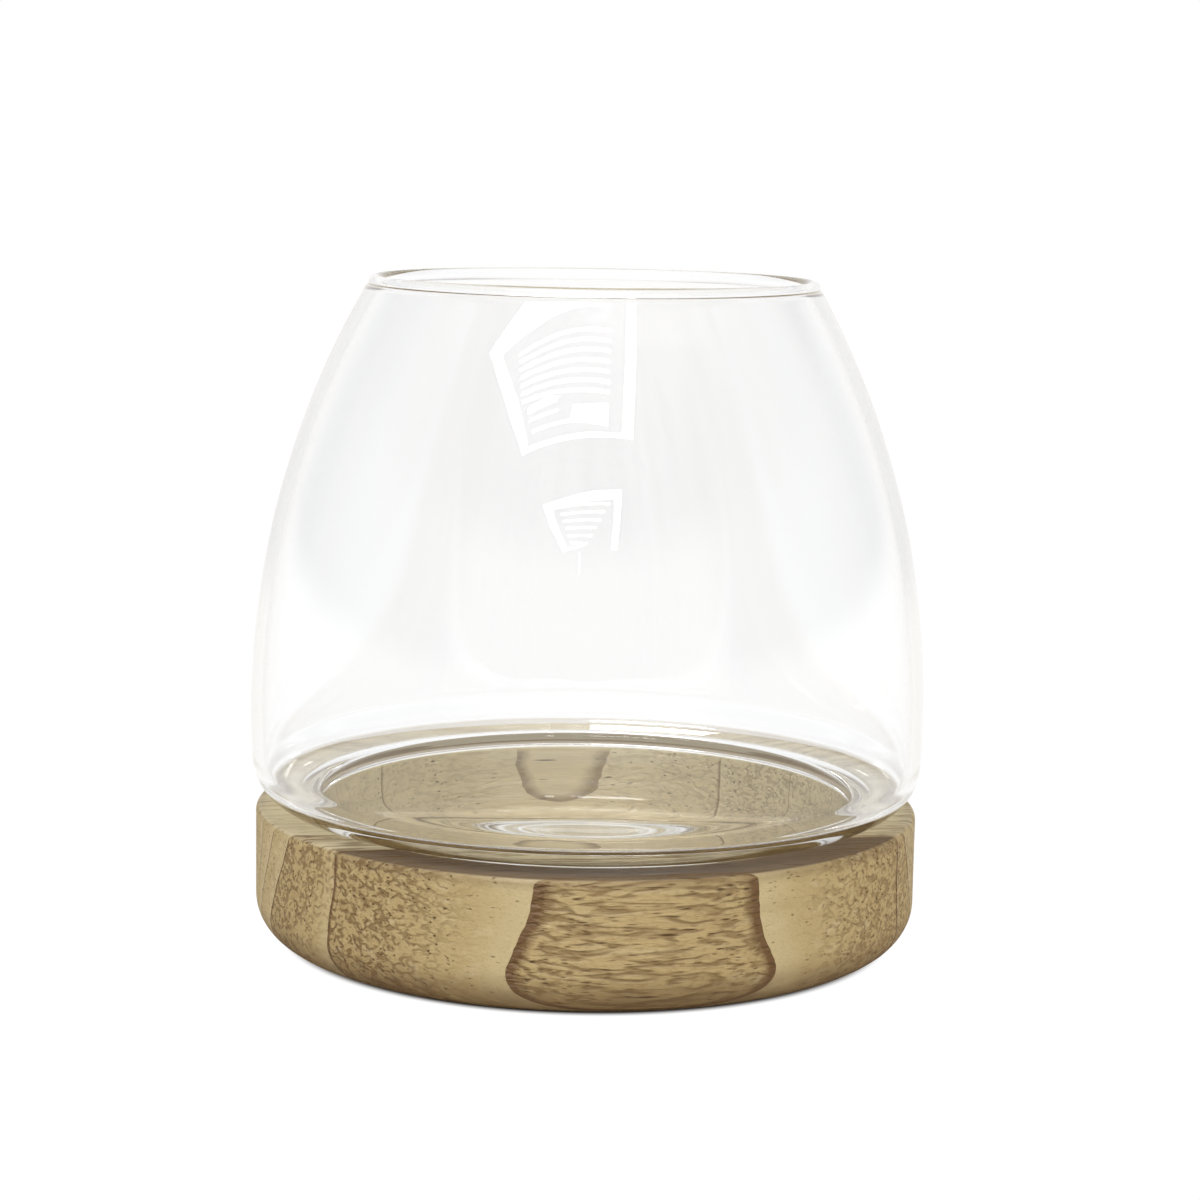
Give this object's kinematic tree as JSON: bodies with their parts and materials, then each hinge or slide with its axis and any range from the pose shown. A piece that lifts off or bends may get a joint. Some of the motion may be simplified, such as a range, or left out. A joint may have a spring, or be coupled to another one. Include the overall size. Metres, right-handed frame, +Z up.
{
  "type": "glass vase with wooden base",
  "caption": "Bulging clear glass vase that narrows to its mouth and stands by a shallow cup in the recess of a turned wooden base.",
  "frame": {"origin": "centre of the wooden base's underside, on the surface that it stands on", "axes": "+Z up along the axis that both pieces are turned about, -Y towards the front of the picture, +X to its right"},
  "size_m": [0.203, 0.203, 0.1993],
  "materials": {
    "pale_wood": "sanded and waxed, satin",
    "clear_glass": "clear, fire-polished"
  },
  "bodies": {
    "base": {"wooden_base": "pale_wood"},
    "vase": {"glass_vase": "clear_glass"}
  },
  "joints": [
    {"name": "vase_lift", "type": "slide", "parent": "base", "child": "vase", "axis": [0, 0, 1], "range_m": [0, 0.06]}
  ]
}
